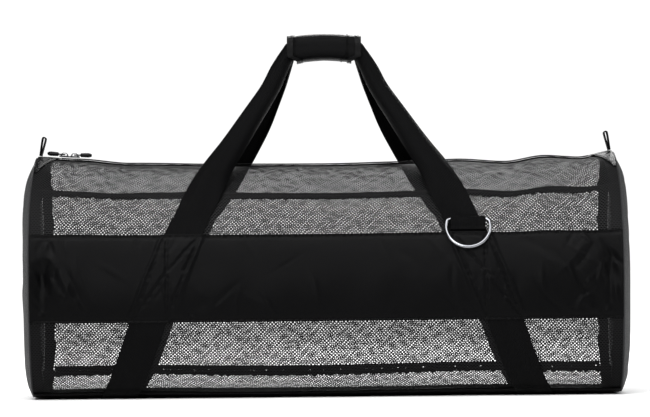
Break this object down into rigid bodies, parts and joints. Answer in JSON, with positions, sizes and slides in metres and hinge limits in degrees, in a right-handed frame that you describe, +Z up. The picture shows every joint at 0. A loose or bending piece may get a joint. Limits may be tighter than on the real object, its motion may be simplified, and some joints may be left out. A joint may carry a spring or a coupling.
{
  "type": "mesh gear duffel bag",
  "caption": "Long barrel-shaped gear bag of net cloth with solid side bands, flat floor, top zip, webbing handles joined by a padded wrap, and a metal ring on one handle leg",
  "frame": {"origin": "centre of the bounding box on the floor plane", "axes": "+X along the bag to the right end, -Y toward the front with the ring, +Z up"},
  "size_m": [0.8596, 0.3501, 0.517],
  "materials": {
    "net": "open knitted net, dark grey, matt",
    "nylon": "smooth coated black nylon, low sheen",
    "end_fabric": "dark grey woven nylon",
    "webbing": "black woven webbing, matt",
    "tape": "black woven tape, matt",
    "slider_metal": "plated metal",
    "pull_plastic": "moulded black plastic",
    "chrome": "polished plated steel wire"
  },
  "bodies": {
    "bag": {"base_panel": "nylon", "end_binding_left": "tape", "end_binding_right": "tape", "end_loop_left": "tape", "end_loop_right": "tape", "end_panel_left": "end_fabric", "end_panel_right": "end_fabric", "end_patch_left": "nylon", "end_patch_right": "nylon", "grip_wrap": "nylon", "handle_back": "webbing", "handle_front": "webbing", "mesh_lower_back": "net", "mesh_lower_front": "net", "mesh_top_back": "net", "mesh_top_front": "net", "mesh_upper_back": "net", "mesh_upper_front": "net", "panel_back": "nylon", "panel_front": "nylon", "ring_tab": "webbing", "seam_tape_lower_back": "tape", "seam_tape_lower_front": "tape", "seam_tape_upper_back": "tape", "seam_tape_upper_front": "tape", "strap_under_left": "webbing", "strap_under_right": "webbing", "zip_chain": "tape", "zip_slider_left": "slider_metal", "zip_slider_right": "slider_metal", "zip_tape": "tape"},
    "ring": {"d_ring": "chrome"},
    "pull_left": {"zip_pull_left": "pull_plastic"},
    "pull_right": {"zip_pull_right": "pull_plastic"}
  },
  "joints": [
    {"name": "ring_hinge", "type": "hinge", "parent": "bag", "child": "ring", "pos_m": [0.19865, -0.1558, 0.2489], "axis": [-1, 0, 0], "range_deg": [0, 150]},
    {"name": "pull_left_hinge", "type": "hinge", "parent": "bag", "child": "pull_left", "pos_m": [-0.37305, 0, 0.34799], "axis": [0, 1, 0], "range_deg": [0, 90]},
    {"name": "pull_right_hinge", "type": "hinge", "parent": "bag", "child": "pull_right", "pos_m": [-0.35855, 0, 0.34716], "axis": [0, -1, 0], "range_deg": [0, 90]}
  ]
}
